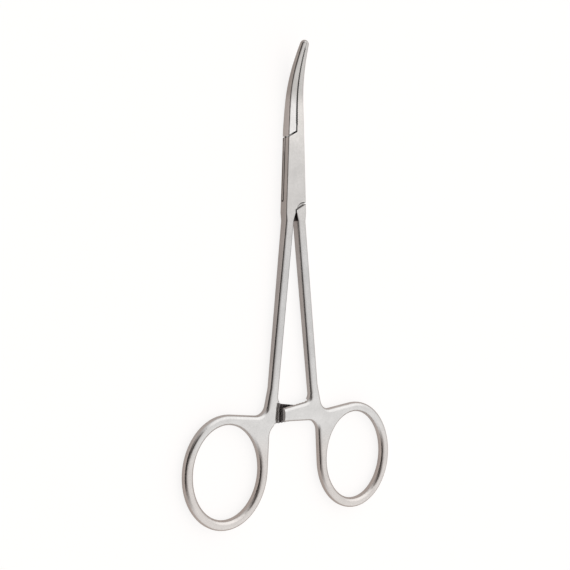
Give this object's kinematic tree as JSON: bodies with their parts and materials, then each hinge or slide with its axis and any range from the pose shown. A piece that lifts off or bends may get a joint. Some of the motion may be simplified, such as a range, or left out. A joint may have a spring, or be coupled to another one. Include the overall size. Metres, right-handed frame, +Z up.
{
  "type": "mosquito forceps",
  "caption": "Slender curved haemostatic forceps with finger rings, a ratchet and a box lock; it clamps small blood vessels and stays shut by itself.",
  "frame": {"origin": "under the middle of the whole instrument, in the plane that it lies on", "axes": "+Y along the instrument towards the jaw tips, +Z up from the back face to the front face, +X to the right as seen from the front"},
  "size_m": [0.0658, 0.125, 0.0073],
  "materials": {
    "box_half": "satin",
    "tongue_half": "satin",
    "pivot_pin": "satin, ground flush with the box"
  },
  "bodies": {
    "box_half": {"box_half": "box_half", "pivot_pin": "pivot_pin"},
    "tongue_half": {"tongue_half": "tongue_half"}
  },
  "joints": [
    {"name": "box_lock", "type": "hinge", "parent": "box_half", "child": "tongue_half", "pos_m": [0, 0.0291, 0.0015], "axis": [0, 0, 1], "range_deg": [0, 45]}
  ]
}
